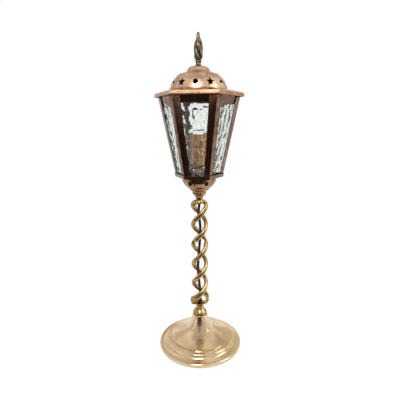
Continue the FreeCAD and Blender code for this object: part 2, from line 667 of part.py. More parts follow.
def makeColumn():
    """One casting: a knob and a cup at the foot, two strands, and a hub with a flange at the top."""
    length = val(size["columnLength"])
    flexBore = val(size["studBore"])
    screw = val(threadBore)
    neck = val(size["lowerNeckRadius"])
    neckHeight = val(size["lowerNeckHeight"])
    knob = val(size["knobRadius"])
    knobHeight = val(size["knobHeight"])
    cup = val(size["lowerHubRadius"])
    cupHeight = val(size["lowerHubHeight"])
    grip = val(threadDepth)
    topGrip = val(topThreadDepth)

    def turned(points, height=0.0):
        edges = []
        for i, point in enumerate(points):
            following = points[(i + 1) % len(points)]
            a = Vector(point[0], 0, point[1] + height)
            b = Vector(following[0], 0, following[1] + height)
            bend = point[2] if len(point) > 2 else 0.0
            if bend:
                chord = b - a
                middle = (a + b) * 0.5 + Vector(chord.z, 0, -chord.x) * bend
                edges.append(Part.Arc(a, middle, b).toShape())
            else:
                edges.append(Part.LineSegment(a, b).toShape())
        face = Part.Face(Part.Wire(edges))
        return face.revolve(Vector(0, 0, 0), Vector(0, 0, 1), 360)

    foot = turned([
        (screw, 0),
        (knob - 2.4, 0),
        (knob - 0.5, 1.2, 0.18),
        (knob - 0.1, knobHeight + 0.4, 0.06),
        (knob - 2.6, knobHeight + 5.0, -0.05),
        (neck + 0.3, neckHeight - 1.0, -0.08),
        (neck, neckHeight + 1.2, -0.08),
        (neck + 1.4, neckHeight + 5.5, -0.05),
        (cup, cupHeight - 0.9, 0.25),
        (cup - 0.9, cupHeight, -0.14),
        (flexBore, cupHeight - 3.0),
        (flexBore, grip),
        (screw, grip),
    ])
    neck = val(size["upperNeckRadius"])
    neckDrop = val(size["upperNeckDrop"])
    hubDrop = val(size["upperHubDrop"])
    flange = val(size["upperFlangeRadius"])
    top = turned([
        (flexBore, -topGrip),
        (flexBore, -hubDrop),
        (neck + 2.2, -hubDrop),
        (neck + 3.6, -hubDrop + 1.2, -0.1),
        (neck + 0.7, -hubDrop + 4.0, -0.08),
        (neck, -neckDrop, -0.07),
        (flange - 1.0, -1.9, -0.1),
        (flange, -1.1, 0.2),
        (flange - 0.2, 0),
        (screw, 0),
        (screw, -topGrip),
    ], length)
    reach = val(size["strandReach"])
    width = val(size["strandWidth"]) / 2.0
    thick = val(size["strandThick"]) / 2.0
    leaf = val(size["leafWidth"]) / 2.0
    leafReach = val(size["leafReach"])
    topLeaf = val(size["topLeafWidth"]) / 2.0
    pitch = val(size["twistPitch"])
    twistTop = length - val(size["twistTopDrop"])
    twistFoot = twistTop - pitch * val(size["twistTurns"])
    # stations along a strand: height, radius of the centre line, half width, half thickness
    stations = [
        (cupHeight - 2.6, 3.0, 4.6, 2.6),
        (cupHeight - 1.4, 7.5, 5.4, 2.8),
        (twistFoot - 0.6, leafReach - 2.6, leaf - 0.6, 3.0),
        (twistFoot + 4.5, leafReach, leaf, thick * 0.9),
        (twistFoot + 12.0, leafReach - 1.0, leaf - 0.9, thick * 0.95),
        (twistFoot + 21.0, reach + 0.9, width + 0.8, thick),
    ]
    start = twistFoot + val(size["footSpread"])
    finish = twistTop - val(size["topSpread"])
    steps = max(4, round((finish - start) / pitch * 9.0))
    stations += [(start + (finish - start) * i / steps, reach, width, thick) for i in range(steps + 1)]
    stations += [
        (twistTop - 6.0, reach + 0.5, width + 0.5, thick),
        (twistTop - 0.4, reach + 0.2, topLeaf, thick * 0.9),
        (twistTop + 3.6, reach - 3.4, topLeaf, thick * 0.85),
        (length - hubDrop + 3.2, 4.6, 5.0, 3.0),
    ]

    def centre(station, strand):
        angle = math.radians(val(size["twistTurnOffset"]) + 180.0 * strand
                             + 360.0 * (station[0] - twistTop) / pitch)
        return Vector(station[1] * math.cos(angle), station[1] * math.sin(angle), station[0])

    strands = []
    for strand in (0, 1):
        places = [centre(station, strand) for station in stations]
        line = Part.BSplineCurve()
        line.interpolate(places)
        sections = []
        for station, place in zip(stations, places):
            along = line.tangent(line.parameter(place))[0]
            outward = Vector(place.x, place.y, 0).normalize()
            across = along.cross(outward).normalize()
            outward = across.cross(along).normalize()
            frame = Matrix(across.x, outward.x, along.x, place.x,
                           across.y, outward.y, along.y, place.y,
                           across.z, outward.z, along.z, place.z,
                           0, 0, 0, 1)
            oval = Part.Ellipse(Vector(0, 0, 0), station[2], station[3]).toShape()
            oval.Placement = Placement(frame)
            sections.append(Part.Wire([oval]))
        strands.append(Part.makeLoft(sections, True, False))
    bores = [
        Part.makeCylinder(screw, grip),
        Part.makeCylinder(flexBore, cupHeight + 2.0, Vector(0, 0, grip)),
        Part.makeCylinder(screw, topGrip, Vector(0, 0, length - topGrip)),
        Part.makeCylinder(flexBore, 8.0, Vector(0, 0, length - topGrip - 8.0)),
    ]
    return foot.fuse([top] + [strand.cut(bores) for strand in strands]).removeSplitter()


column = fixedShape("twist_column", makeColumn())
keep(column, height=columnSeat)


# ---------------------------------------------------------------- bowl and upper stud
bowl = newBody("bowl")
bowlProfile = [
    (size["studRadius"] + size["holeGap"], size["seatGap"]),
    (size["bowlFootRadius"] - 0.4, size["seatGap"]),
    (size["bowlFootRadius"], 1.2, 0.2),
    (size["bowlFootRadius"] + 2.3, 3.0, 0.25),
    (size["bowlFootRadius"] + 2.6, 5.0, -0.1),
    (size["bowlFootRadius"] + 5.2, 9.2, 0.1),
    (size["bowlFootRadius"] + 9.6, 13.4, -0.1),
    (size["bowlFootRadius"] + 11.0, 14.6, 0.06),
    (size["bowlRadius"] - 4.6, 20.6, 0.08),
    (size["bowlRadius"] - 1.0, 29.0, 0.03),
    (size["bowlRadius"], size["bowlHeight"] - size["seatGap"]),
]
revolve(bowl, sheetOutline(bowlProfile, size["bowlWall"]))


def drawBowlVent(sketch):
    drawCircle(sketch, 0, size["bowlVentHeight"], size["bowlVentRadius"])


ring(bowl, [pocket(bowl, "XZ", drawBowlVent, size["bowlRadius"] + 1.0)], 6)
keep(bowl, height=columnTop, turn=30.0 + val(size["bowlTurn"]))

upperStudBottom = columnTop - size["topGrip"]
tube("upper_stud", size["studRadius"], size["studBore"],
     holderLevel + size["bossHeight"] - 0.3 - upperStudBottom, upperStudBottom)


# ---------------------------------------------------------------- lantern body
flare = (size["cornerTop"] - size["cornerBottom"]) * hexHalf
slant = root(size["bodyHeight"] * size["bodyHeight"] + flare * flare)
lean = flare / slant
upright = size["bodyHeight"] / slant
apothem = size["cornerBottom"] * hexHalf


def cornerAt(height):
    return size["cornerBottom"] + (size["cornerTop"] - size["cornerBottom"]) * height / size["bodyHeight"]


def inset(corner, depth):
    """Corner radius of a hexagon whose walls lie a depth inside, measured square to them."""
    return corner - depth / (upright * hexHalf)


panLift = size["floorThick"]
floorPan = newBody("floor_pan")
panOuter = [inset(cornerAt(h), -size["hemRise"] - size["panGap"] - size["panWall"]) for h in (0, size["panUpstand"])]
loft(floorPan, [(0, hexagon(panOuter[0])), (size["panUpstand"], hexagon(panOuter[1]))])
loft(floorPan, [
    (size["panUpstand"] - size["panBead"], hexagon(panOuter[1])),
    (size["panUpstand"], hexagon(panOuter[1] + 0.5)),
])
loft(floorPan, [
    (h, hexagon(inset(cornerAt(h), -size["hemRise"] - size["panGap"])))
    for h in (panLift, size["panUpstand"] + 0.01)
], cut=True)


def drawStudHole(sketch):
    drawCircle(sketch, 0, 0, size["studRadius"] + size["holeGap"])


def drawPanVent(sketch):
    drawCircle(sketch, size["panVentCircle"], 0, size["panVentRadius"])


pocket(floorPan, "XY", drawStudHole, panLift + 1.0, reversed_=True)
ring(floorPan, [pocket(floorPan, "XY", drawPanVent, panLift + 1.0, reversed_=True)], 6)
keep(floorPan, height=panLevel)

tube("floor_washer", size["washerRadius"], size["studRadius"] + size["holeGap"], size["washerThick"],
     panLevel + panLift + size["seatGap"])
hexNut("floor_nut", size["nutFlats"], threadBore, size["nutThick"],
       panLevel + panLift + size["seatGap"] * 2 + size["washerThick"])


def postOutline(corner, width, flatSide=None):
    """Cross-section of a corner post: two flanges of folded sheet with a hem along each edge.
    The corner lies on +X and the flanges run back along the two lantern walls."""
    wall = size["sheetThick"] / upright
    rise = size["hemRise"] / upright

    def at(distance, depth, side):
        # distance back from the corner along a wall, depth square to it
        x = corner - distance * 0.5 - depth * hexHalf
        y = distance * hexHalf - depth * 0.5
        return (x, y * side)

    hem = size["hemWidth"]
    half = [at(0, 0, 1), at(width - hem, 0, 1), at(width - hem, -rise, 1), at(width, -rise, 1), at(width, wall, 1)]
    inner = (corner - wall / hexHalf, 0)
    mirrored = [(x, -y) for x, y in reversed(half[1:])]
    return half + [inner] + mirrored


for i in range(6):
    post = newBody(f"corner_post_{i + 1}")
    footHeight = panLift + size["seatGap"]
    widthSlope = (size["postTopWidth"] - size["postBottomWidth"]) / size["bodyHeight"]
    loft(post, [
        (footHeight, postOutline(cornerAt(footHeight), size["postBottomWidth"] + widthSlope * footHeight)),
        (size["bodyHeight"], postOutline(cornerAt(size["bodyHeight"]), size["postTopWidth"])),
    ])
    keep(post, height=panLevel, turn=-60.0 + 60.0 * i)

bandDepth = size["sheetThick"] + size["layerGap"]
band = newBody("top_band")
bandFoot = size["bodyHeight"] - size["bandHeight"]
loft(band, [
    (bandFoot, hexagon(inset(cornerAt(bandFoot), bandDepth))),
    (size["bodyHeight"], hexagon(inset(cornerAt(size["bodyHeight"]), bandDepth))),
])
bandInner = bandDepth + size["sheetThick"]
loft(band, [
    (bandFoot - 1.0, hexagon(inset(cornerAt(bandFoot - 1.0), bandInner))),
    (size["bodyHeight"] + 1.0, hexagon(inset(cornerAt(size["bodyHeight"] + 1.0), bandInner))),
], cut=True)
keep(band, height=panLevel)

# Each lantern wall is drawn as if upright, with X along it, Y inwards and Z up its slant,
# and then leaned back to the wall's slant.
glassFace = bandInner + size["layerGap"]
glassBack = glassFace + size["glassThick"]
glassFoot = (panLift + 0.3 - glassFace * lean) / upright
glassTop = (size["bodyHeight"] - size["glassDrop"]) / upright
leanAngle = math.degrees(math.atan2(val(flare), val(size["bodyHeight"])))


def glassHalf(along):
    wall = apothem + along * lean - glassBack * upright
    return wall * math.tan(math.radians(30.0)) - size["glassSideGap"]


def wallPlacement(i):
    """Leans a piece drawn upright back against wall i."""
    leaned = Placement(Vector(0, -val(apothem), val(panLevel)), Rotation(Vector(1, 0, 0), leanAngle))
    return Placement(Vector(0, 0, 0), Rotation(Vector(0, 0, 1), 60.0 * i)).multiply(leaned)


for i in range(6):
    pane = newBody(f"glass_pane_{i + 1}")
    offset = Placement(Vector(0, 0, -val(glassFace)), Rotation())
    sketch = newSketch(pane, "XZ", offset)
    bind(sketch, "AttachmentOffset.Base.z", -glassFace)
    drawOutline(sketch, [
        (-glassHalf(glassFoot), glassFoot),
        (glassHalf(glassFoot), glassFoot),
        (glassHalf(glassTop), glassTop),
        (-glassHalf(glassTop), glassTop),
    ])
    slab = pane.newObject("PartDesign::Pad", pane.Name + "_pad")
    slab.Profile = sketch
    slab.Reversed = True
    bind(slab, "Length", size["glassThick"])
    pane.Placement = wallPlacement(i)
    nodes.append(pane)


def stripSolid(outline, width, place):
    """A bent strip: an outline in inward distance and height, as wide as given."""
    corners = [Vector(-val(width) / 2.0, val(a), val(b)) for a, b in outline]
    solid = Part.Face(Part.makePolygon(corners + corners[:1])).extrude(Vector(val(width), 0, 0))
    solid.Placement = place
    return solid


clipOut = bandInner + size["seatGap"]
clipIn = clipOut + size["clipThick"]
overGlass = glassTop + size["layerGap"]
backOfGlass = glassBack + size["layerGap"]
clipOutline = [
    (clipOut, overGlass),
    (backOfGlass, overGlass),
    (backOfGlass, glassTop - size["clipReach"]),
    (backOfGlass + size["clipThick"], glassTop - size["clipReach"]),
    (backOfGlass + size["clipThick"], overGlass + size["clipThick"]),
    (clipIn, overGlass + size["clipThick"]),
    (clipIn, overGlass + size["clipReach"]),
    (clipOut, overGlass + size["clipReach"]),
]
clips = []
for i in range(6):
    for side in (-1, 1):
        along = Placement(Vector(side * val(size["clipSpread"]), 0, 0), Rotation())
        clips.append(stripSolid(clipOutline, size["clipWidth"], wallPlacement(i).multiply(along)))
keep(fixedShape("glass_clips", Part.makeCompound(clips)))

# tabs on the floor pan that stop the panes' lower edges from sliding in
tabFoot = size["seatGap"] + panLift


def onFloor(inward, height=tabFoot):
    """A point at an inward distance on the leaned wall, kept level at a height."""
    return (inward, (height - inward * lean) / upright)


floorTabOutline = [
    onFloor(backOfGlass),
    onFloor(backOfGlass + 5.0),
    onFloor(backOfGlass + 5.0, tabFoot + size["clipThick"]),
    onFloor(backOfGlass + size["clipThick"], tabFoot + size["clipThick"]),
    (backOfGlass + size["clipThick"], glassFoot + size["clipReach"]),
    (backOfGlass, glassFoot + size["clipReach"]),
]
keep(fixedShape("floor_tabs", Part.makeCompound(
    [stripSolid(floorTabOutline, size["clipWidth"], wallPlacement(i)) for i in range(6)])))


# ---------------------------------------------------------------- lampholder
skirtInner = size["holderRadius"] - size["holderWall"]
holderCap = newBody("holder_cap")
revolve(holderCap, [
    (threadBore, 0),
    (size["holderBoss"], 0),
    (size["holderBoss"], size["bossHeight"] - 1.5, -0.12),
    (size["holderBoss"] + 1.8, size["bossHeight"] + 0.6, 0.2),
    (size["holderRadius"], size["bossHeight"] + 8.0),
    (size["holderRadius"], size["capHeight"]),
    (skirtInner, size["capHeight"]),
    (skirtInner, size["bossHeight"] + 8.2, -0.2),
    (size["holderBoss"] + 1.5, size["bossHeight"] + 1.8),
    (threadBore, size["bossHeight"] + 1.0),
])
keep(holderCap, height=holderLevel)

barrelThread = skirtInner - size["threadGap"]
barrelBore = size["sleeveBore"] + size["sleeveWall"] + size["runningGap"]
flangeTop = size["insulatorFoot"] + size["insulatorFlange"]
holderBarrel = newBody("holder_barrel")
revolve(holderBarrel, [
    (barrelBore - 0.9, size["capHeight"] - 6.0),
    (barrelThread, size["capHeight"] - 6.0),
    (barrelThread, size["capHeight"] + 0.2),
    (size["holderRadius"], size["capHeight"] + 0.2),
    (size["holderRadius"], size["barrelHeight"] - 3.4),
    (size["holderRadius"] + 0.5, size["barrelHeight"] - 2.9),
    (size["holderRadius"] + 0.5, size["barrelHeight"] - 0.5),
    (size["holderRadius"], size["barrelHeight"]),
    (barrelBore, size["barrelHeight"]),
    (barrelBore, size["insulatorFoot"] - size["seatGap"]),
    (barrelBore - 0.9, size["insulatorFoot"] - size["seatGap"]),
])
keep(holderBarrel, height=holderLevel)

sleeve = newBody("bayonet_sleeve")
sleeveFoot = flangeTop + size["seatGap"]
sleeveTop = size["barrelHeight"] + size["sleeveProud"]
sleeveOuter = size["sleeveBore"] + size["sleeveWall"]
reliefTop = size["insulatorFoot"] + size["insulatorHeight"] + size["plungerProud"] + 0.5
revolve(sleeve, [
    (size["sleeveBore"] + size["reliefGap"], sleeveFoot),
    (sleeveOuter, sleeveFoot),
    (sleeveOuter, sleeveTop - 0.4),
    (sleeveOuter - 0.4, sleeveTop),
    (size["sleeveBore"], sleeveTop),
    (size["sleeveBore"], reliefTop),
    (size["sleeveBore"] + size["reliefGap"], reliefTop),
])


def drawSlot(sketch):
    """A J: down from the mouth, across, and a little up again where the bulb's pin rests."""
    half = size["slotWidth"] / 2
    low = sleeveTop - size["slotDepth"]
    across = size["slotWidth"] * 1.4
    drawOutline(sketch, [
        (-half, sleeveTop + 1.0),
        (-half, low),
        (across + half, low),
        (across + half, low + size["slotWidth"] + 1.2),
        (across - half, low + size["slotWidth"] + 1.2),
        (across - half, low + size["slotWidth"]),
        (half, low + size["slotWidth"]),
        (half, sleeveTop + 1.0),
    ])


ring(sleeve, [pocket(sleeve, "XZ", drawSlot, sleeveOuter + 1.0)], 2)
keep(sleeve, height=holderLevel)

insulator = newBody("holder_insulator")
insulatorTop = size["insulatorFoot"] + size["insulatorHeight"]
collarBore = size["plungerCollar"] + size["runningGap"]
stemBore = size["plungerRadius"] + size["runningGap"]
collarStop = insulatorTop - 6.0
revolve(insulator, [
    (0, size["insulatorFoot"]),
    (sleeveOuter, size["insulatorFoot"]),
    (sleeveOuter, flangeTop),
    (size["sleeveBore"] - size["runningGap"], flangeTop),
    (size["sleeveBore"] - size["runningGap"], insulatorTop - 0.8),
    (size["sleeveBore"] - size["runningGap"] - 0.8, insulatorTop),
    (0, insulatorTop),
])


def drawStemBore(sketch):
    drawCircle(sketch, size["contactSpread"], 0, stemBore)


def drawCollarBore(sketch):
    drawCircle(sketch, size["contactSpread"], 0, collarBore)


stemHole = pocket(insulator, "XY", drawStemBore, insulatorTop + 1.0, reversed_=True)
collarHole = pocket(insulator, "XY", drawCollarBore, collarStop, reversed_=True)
ring(insulator, [stemHole, collarHole], 2)
keep(insulator, height=holderLevel)



def coilSpring(radius, wire, height, coils):
    """A wire of eight flats wound in an even helix, from twelve straight runs to a turn."""
    steps = round(coils * 12.0)
    rise = height / (2.0 * math.pi * coils)
    sections = []
    for i in range(steps + 1):
        angle = 2.0 * math.pi * coils * i / steps
        outward = Vector(math.cos(angle), math.sin(angle), 0)
        along = Vector(-radius * math.sin(angle), radius * math.cos(angle), rise).normalize()
        across = along.cross(outward)
        middle = outward * radius + Vector(0, 0, height * i / steps)
        corners = []
        for k in range(8):
            turn = math.radians(45.0 * k)
            corners.append(middle + outward * (wire * math.cos(turn)) + across * (wire * math.sin(turn)))
        sections.append(Part.makePolygon(corners + corners[:1]))
    return Part.makeLoft(sections, True, True)


blockTop = size["insulatorFoot"] - size["seatGap"]
springFoot = size["insulatorFoot"] + 2.0
collarTop = collarStop - size["seatGap"] * 4
collarFoot = collarTop - 3.6
stemTop = insulatorTop + size["plungerProud"]
screws = []
blocks = []
for i, turn in enumerate((0.0, 180.0)):
    plunger = newBody(f"contact_plunger_{i + 1}")
    revolve(plunger, [
        (0, collarFoot),
        (size["plungerCollar"], collarFoot),
        (size["plungerCollar"], collarTop),
        (size["plungerRadius"], collarTop),
        (size["plungerRadius"], stemTop - 0.9, 0.2),
        (size["plungerRadius"] - 0.9, stemTop),
        (0, stemTop),
    ])
    side = Rotation(Vector(0, 0, 1), turn)
    spread = val(size["contactSpread"]) * (1 if i == 0 else -1)
    plunger.Placement = Placement(Vector(spread, 0, 0), side)
    bind(plunger, "Placement.Base.x", size["contactSpread"] if i == 0 else -size["contactSpread"])
    bind(plunger, "Placement.Base.z", holderLevel)
    nodes.append(plunger)

    wire = val(size["springWire"]) / 2.0
    coilRadius = val(size["plungerCollar"]) - wire - 0.1
    springHeight = val(collarFoot) - val(springFoot) - 2.0 * wire - 0.1
    spring = fixedShape(f"contact_spring_{i + 1}", coilSpring(coilRadius, wire, springHeight, val(size["springCoils"])))
    spring.Placement = Placement(Vector(spread, 0, val(holderLevel + springFoot) + wire + 0.05), side)
    nodes.append(spring)

    blockFoot = val(blockTop) - 8.0
    block = Part.makeBox(5.0, 6.4, 8.0, Vector(spread - 2.5, -3.2, blockFoot))
    boss = Part.makeCylinder(val(size["plungerCollar"]), val(springFoot) - val(blockTop) + 0.1,
                             Vector(spread, 0, val(blockTop) - 0.1))
    coreHole = Part.makeCylinder(val(size["coreRadius"]) + 0.1, 5.0, Vector(spread, 0, blockFoot - 0.5))
    screwHole = Part.makeCylinder(1.3, 4.0, Vector(spread, -3.6, blockFoot + 3.0), Vector(0, 1, 0))
    blocks.append(block.fuse(boss).cut(coreHole).cut(screwHole))
    shank = Part.makeCylinder(1.25, 2.0, Vector(spread, -3.2, blockFoot + 3.0), Vector(0, 1, 0))
    head = Part.makeCylinder(2.0, 1.2, Vector(spread, -4.4, blockFoot + 3.0), Vector(0, 1, 0))
    screwSlot = Part.makeBox(4.4, 0.6, 0.6, Vector(spread - 2.2, -4.45, blockFoot + 2.7))
    screws.append(head.fuse(shank).cut(screwSlot))
keep(fixedShape("terminal_blocks", Part.makeCompound(blocks)), height=holderLevel)
keep(fixedShape("terminal_screws", Part.makeCompound(screws)), height=holderLevel)


# ---------------------------------------------------------------- flex
# The flex runs from the holder down the hollow studs and the open twist, and out through
# the grommet. Its points were chosen by eye to follow the flex that shows inside the twist.
sheathTop = val(holderLevel + size["bossHeight"]) + 2.5


def inTwist(share):
    """Height of a point of the column, as a share of the column's length."""
    return val(columnSeat + size["columnLength"] * share)


flexRoute = [
    (0, 0, sheathTop),
    (0.3, 0, (sheathTop + val(columnTop)) / 2.0),
    (0.1, 0.1, inTwist(0.936)),
    (-2.1, 0.6, inTwist(0.860)),
    (1.7, -0.4, inTwist(0.767)),
    (0.9, 1.2, inTwist(0.649)),
    (-1.9, 0.3, inTwist(0.517)),
    (-3.8, -1.0, inTwist(0.386)),
    (-0.9, 0.9, inTwist(0.263)),
    (1.5, 0.2, inTwist(0.158)),
    (0.2, 0, inTwist(0.043)),
    (0, -0.2, val(shellFoot + size["trumpetHeight"] * 0.7)),
    (0, 0, val(size["outletHeight"])),
    (0.5, val(grommetIn) * 0.36, val(size["outletHeight"])),
    (-0.3, val(grommetIn) * 0.73, val(size["outletHeight"]) + 0.2),
    (0, val(grommetOut + size["grommetLip"]), val(size["outletHeight"])),
]
keep(fixedShape("lamp_flex", smoothPipe(flexRoute, val(size["flexRadius"]))))

cores = []
coreTop = val(holderLevel) + val(blockTop) - 8.0 + 2.0
for side in (-1, 1):
    spread = side * val(size["contactSpread"])
    cores.append(smoothPipe([
        (side * 1.1, 0, sheathTop + 0.1),
        (side * 1.3, 0, sheathTop + 2.8),
        (spread - side * 0.1, 0, sheathTop + 7.0),
        (spread, 0, coreTop),
    ], val(size["coreRadius"])))
keep(fixedShape("flex_cores", Part.makeCompound(cores)))


# ---------------------------------------------------------------- roof
foldApothem = size["foldCorner"] * hexHalf
crownApothem = size["crownCorner"] * hexHalf
roofSlope = size["crownRise"] / (foldApothem - crownApothem)
roofThick = size["roofWall"] * root(roofSlope * roofSlope + 1.0)


def undersideAt(inwardApothem):
    """Height of the plate's underside above the fold, at a distance from the axis."""
    return (foldApothem - inwardApothem) * roofSlope - roofThick


roofLevel = bodyTop + size["roofGap"] - undersideAt(size["cornerTop"] * hexHalf)
roofPlate = newBody("roof_plate")
rimSlope = (size["rimCorner"] - size["foldCorner"]) / size["rimHeight"]
crownSlope = size["crownRise"] / (size["foldCorner"] - size["crownCorner"])
soft = size["foldSoft"]
loft(roofPlate, [
    (-size["rimHeight"], hexagon(size["rimCorner"])),
    (-soft, hexagon(size["foldCorner"] + rimSlope * soft)),
    (-soft * 0.22, hexagon(size["foldCorner"] - soft * 0.24)),
    (crownSlope * soft, hexagon(size["foldCorner"] - soft)),
    (size["crownRise"], hexagon(size["crownCorner"])),
])
loft(roofPlate, [
    (-size["rimHeight"], hexagon(size["rimCorner"] + size["hemProud"])),
    (-size["rimHeight"] + size["roofHem"], hexagon(size["rimCorner"] + size["hemProud"])),
])
wallCorner = size["roofWall"] / hexHalf
loft(roofPlate, [
    (-size["rimHeight"] - 0.01, hexagon(size["rimCorner"] - wallCorner + rimSlope * 0.01)),
    (undersideAt(foldApothem - size["roofWall"]), hexagon(size["foldCorner"] - wallCorner)),
    (undersideAt(crownApothem), hexagon(size["crownCorner"])),
], cut=True)


def drawRoofOpening(sketch):
    drawCircle(sketch, 0, 0, size["roofOpening"])


pocket(roofPlate, "XY", drawRoofOpening, size["crownRise"] + 1.0, reversed_=True)
keep(roofPlate, height=roofLevel)

# tabs under the roof that drop inside the top band and keep the roof in its place
tabOuter = (size["cornerTop"] - size["cornerBottom"]) * (size["bodyHeight"] - size["tabDepth"])
tabWall = inset(size["cornerBottom"] + tabOuter / size["bodyHeight"], bandInner) * hexHalf - size["tabClearance"]
tabTop = roofLevel + undersideAt(tabWall) - size["seatGap"]
tabBottom = bodyTop - size["tabDepth"]
flangeRise = roofSlope * 6.0
tabOutline = [
    (-tabWall, tabBottom),
    (-tabWall, tabTop),
    (-tabWall + 6.0, tabTop + flangeRise),
    (-tabWall + 6.0, tabTop + flangeRise - size["tabThick"]),
    (-tabWall + size["tabThick"], tabTop - size["tabThick"] + roofSlope * size["tabThick"]),
    (-tabWall + size["tabThick"], tabBottom),
]
tabs = [stripSolid(tabOutline, size["tabWidth"], Placement(Vector(0, 0, 0), Rotation(Vector(0, 0, 1), 60.0 * i)))
        for i in range(6)]
keep(fixedShape("roof_tabs", Part.makeCompound(tabs)))

domeLevel = roofLevel + size["crownRise"] + size["seatGap"]
rodHole = size["rodRadius"] + size["holeGap"]
dome = newBody("pierced_dome")
revolve(dome, sheetOutline([
    (size["domeRadius"], 0),
    (size["domeRadius"] - 0.2, 1.0, 0.026),
    (size["domeBelly"], size["domeBellyHeight"], 0.043),
    (size["domeShoulder"], size["domeShoulderHeight"], 0.12),
    (size["domeShoulder"] - 1.2, size["domeShoulderHeight"] + 0.8),
    (size["capRadius"] + 0.3, size["domeSeatHeight"]),
    (size["capRadius"] - size["domeWall"] * 2, size["domeSeatHeight"]),
    (size["smallWasherRadius"] + 3.0, size["crownHeight"]),
    (rodHole, size["crownHeight"]),
], size["domeWall"]))


def drawRound(sketch):
    drawCircle(sketch, 0, size["pierceHeight"], size["roundPierce"])


def drawStar(sketch):
    points = []
    for i in range(10):
        reach = size["starPierce"] * (1.0 if i % 2 == 0 else size["starRatio"])
        angle = math.radians(90.0 + 36.0 * i)
        points.append((reach * math.cos(angle), size["pierceHeight"] + reach * math.sin(angle)))
    drawOutline(sketch, points)


depth = size["domeRadius"] + 1.0
ring(dome, [pocket(dome, "XZ", drawRound, depth)], 6)
aside = Placement(Vector(0, 0, 0), Rotation(Vector(0, 1, 0), 30.0))
ring(dome, [pocket(dome, "XZ", drawStar, depth, offset=aside)], 6)
keep(dome, height=domeLevel)

capLevel = domeLevel + size["domeSeatHeight"]
chimneyCap = newBody("chimney_cap")
revolve(chimneyCap, sheetOutline([
    (size["capRadius"], 0.1),
    (size["capRadius"] - 1.2, 1.6, -0.05),
    (size["capWaist"], size["capWaistHeight"], 0.1),
    (size["capShoulder"], size["capShoulderHeight"], 0.1),
    (size["finialFoot"] + 5.0, size["capRise"] - 0.4, 0.05),
    (size["finialFoot"] + 0.3, size["capRise"]),
    (rodHole, size["capRise"]),
], size["domeWall"]))
keep(chimneyCap, height=capLevel)

crownUnder = domeLevel + size["crownHeight"] - size["domeWall"]
finialLevel = capLevel + size["capRise"] + size["seatGap"]
rodBottom = crownUnder - size["rodTail"]
rod("finial_rod", size["rodRadius"], finialLevel + size["rodGrip"] - rodBottom, rodBottom)
tube("finial_washer", size["smallWasherRadius"], rodHole, size["seatGap"] * 20, crownUnder - size["seatGap"] * 21)
hexNut("finial_nut", size["smallNutFlats"], size["rodRadius"] + size["threadGap"], size["nutThick"],
       crownUnder - size["seatGap"] * 22 - size["nutThick"])


def makeFinial():
    """A turned foot with a neck and a collar, and a flame of four twisted leaves on it."""
    foot = val(size["finialFoot"])
    neck = val(size["finialNeck"])
    neckHeight = val(size["finialNeckHeight"])
    collar = val(size["finialCollar"])
    collarHeight = val(size["finialCollarHeight"])
    flameFoot = val(size["flameFoot"])
    tip = val(size["flameHeight"])
    fat = val(size["flameRadius"])
    blind = val(size["rodGrip"]) + 0.4
    bore = val(size["rodRadius"] + size["threadGap"])
    outline = [(0, 0), (foot - 0.3, 0), (foot, 0.7), (foot - 0.6, 1.6), (neck, neckHeight),
               (neck + 0.2, collarHeight - 2.0), (collar - 0.3, collarHeight - 1.1), (collar, collarHeight),
               (collar - 0.4, collarHeight + 1.2), (collar - 1.0, flameFoot), (0, flameFoot + 1.0)]
    corners = [Vector(r, 0, z) for r, z in outline]
    turned = Part.Face(Part.makePolygon(corners + corners[:1])).revolve(Vector(0, 0, 0), Vector(0, 0, 1), 360)
    rise = tip - flameFoot
    # share of the flame's height, share of its greatest radius
    girth = [(0.0, 0.62), (0.05, 0.78), (0.15, 0.95), (0.32, 1.0), (0.48, 0.97), (0.62, 0.85),
             (0.74, 0.68), (0.85, 0.45), (0.94, 0.27), (1.0, 0.12)]
    sections = []
    for share, wide in girth:
        lobe = 0.13 * (1.0 - 0.6 * share)
        points = []
        for i in range(32):
            angle = 2.0 * math.pi * i / 32
            reach = fat * wide * (1.0 - lobe + lobe * math.cos(4.0 * angle))
            turn = angle + math.radians(val(size["flameTwist"])) * share
            points.append(Vector(reach * math.cos(turn), reach * math.sin(turn), flameFoot + rise * share))
        curve = Part.BSplineCurve()
        curve.interpolate(points + points[:1])
        sections.append(Part.Wire([curve.toShape()]))
    flame = Part.makeLoft(sections, True, False)
    hole = Part.makeCylinder(bore, blind)
    return turned.fuse([flame]).cut([hole])


keep(fixedShape("flame_finial", makeFinial()), height=finialLevel)


# ---------------------------------------------------------------- check and write
doc.recompute()
for thing in doc.Objects:
    if "Invalid" in thing.State or "Error" in thing.State:
        raise RuntimeError(f"{thing.Label} failed: {thing.State}")
labels = [thing.Label for thing in nodes]
if len(set(labels)) != len(labels):
    raise RuntimeError("two pieces share a name")
for thing in nodes:
    if thing.Shape.isNull() or not thing.Shape.isValid() or not thing.Shape.Solids:
        raise RuntimeError(f"{thing.Label} is not a valid solid")
os.makedirs("parts", exist_ok=True)
for thing in nodes:
    thing.Shape.exportStep(f"parts/{thing.Label}.step")
    print(f"{thing.Label}: {len(thing.Shape.Solids)} solid(s), {thing.Shape.Volume:.1f} mm3")
print(f"{len(nodes)} pieces")
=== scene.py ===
import bmesh
import bpy
import math
import random
from mathutils import Matrix, Vector


